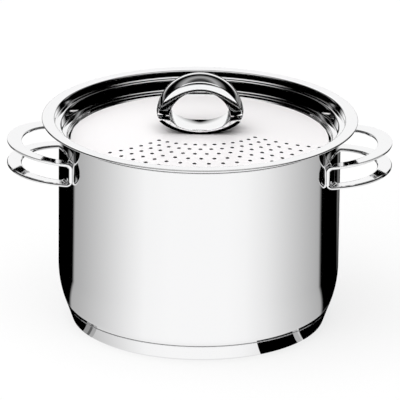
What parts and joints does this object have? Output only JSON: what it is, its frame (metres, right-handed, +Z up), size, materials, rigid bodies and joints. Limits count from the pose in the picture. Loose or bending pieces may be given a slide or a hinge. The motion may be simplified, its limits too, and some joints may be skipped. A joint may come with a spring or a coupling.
{
  "type": "pasta pot",
  "caption": "Stainless steel pasta pot with an encapsulated base, two double-loop side handles and a recessed strainer lid with drain holes and an arched knob.",
  "frame": {"origin": "middle of the base's underside, on the pot's axis", "axes": "+Z up along the pot's axis, the handles along X, the lid's drain holes towards -Y"},
  "size_m": [0.33, 0.2704, 0.2221],
  "materials": {
    "mirror_steel": "mirror polished stainless steel",
    "satin_steel": "turned stainless steel",
    "aluminium_core": "plain rolled aluminium"
  },
  "bodies": {
    "root": {"pot_body": "mirror_steel", "base_core": "aluminium_core", "base_cap": "mirror_steel", "left_handle": "mirror_steel", "right_handle": "mirror_steel", "lid": "mirror_steel", "knob_cradle": "mirror_steel", "knob_arch": "mirror_steel", "knob_screw": "satin_steel", "knob_washer": "satin_steel"}
  },
  "joints": []
}
